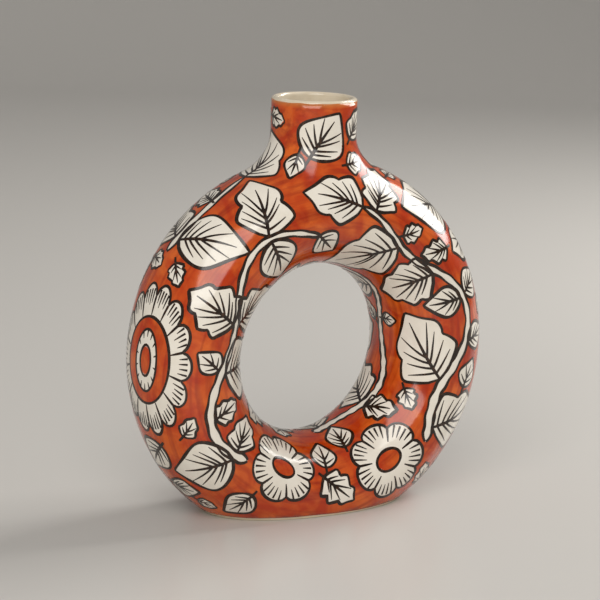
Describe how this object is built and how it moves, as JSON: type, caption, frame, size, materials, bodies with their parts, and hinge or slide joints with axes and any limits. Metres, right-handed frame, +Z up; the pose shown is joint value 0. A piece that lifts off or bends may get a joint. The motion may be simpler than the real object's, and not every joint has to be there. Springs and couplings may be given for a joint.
{
  "type": "ring vase",
  "caption": "Hollow ceramic ring on a flat oval foot, with a short round neck on top, painted with cream foliage on orange; holds water and cut stems.",
  "frame": {"origin": "centre of the foot, on the surface the vase stands on", "axes": "+X across the ring to the right, +Y to the back along the ring's axis, +Z up"},
  "size_m": [0.2354, 0.079, 0.25],
  "materials": {
    "clay": "bare fired earthenware",
    "painted_glaze": "gloss, brush painted",
    "cream_glaze": "gloss"
  },
  "bodies": {
    "root": {"front_half_shell": "clay", "back_half_shell": "clay", "neck": "clay", "foot_slab": "clay", "outer_glaze": "painted_glaze", "liner_glaze": "cream_glaze"}
  },
  "joints": []
}
